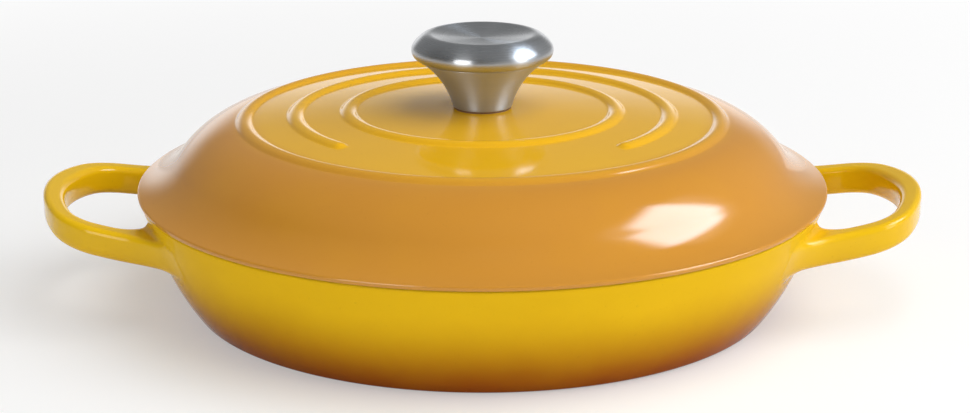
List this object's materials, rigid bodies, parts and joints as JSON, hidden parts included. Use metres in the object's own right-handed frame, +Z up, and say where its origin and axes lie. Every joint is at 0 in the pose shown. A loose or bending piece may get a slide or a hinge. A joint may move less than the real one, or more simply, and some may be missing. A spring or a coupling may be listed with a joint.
{
  "type": "braiser",
  "caption": "Shallow round enamelled cast-iron braiser: curved-wall pan with cast loop handles, domed lift-off lid with raised rings, and a steel mushroom knob screwed to the lid.",
  "frame": {"origin": "centre of the pan's underside, on the plane that the foot ring rests on", "axes": "+Z up through the knob, X through both loop handles, -Y towards the break in the lid's middle ring"},
  "size_m": [0.35, 0.274, 0.1076],
  "materials": {
    "enamel": "glossy vitreous enamel on cast iron, yellow that shades to burnt amber at the pan's base",
    "knob_steel": "satin stainless",
    "fixing_steel": "plain stainless",
    "seal": "matt"
  },
  "bodies": {
    "pan": {"pan": "enamel"},
    "lid": {"lid": "enamel", "knob_cap": "knob_steel", "knob_stem": "knob_steel", "knob_insert": "fixing_steel", "knob_gasket": "seal", "screw_washer": "fixing_steel", "knob_screw": "fixing_steel"}
  },
  "joints": [
    {"name": "lid_lift", "type": "slide", "parent": "pan", "child": "lid", "axis": [0, 0, 1], "range_m": [0, 0.15]}
  ]
}
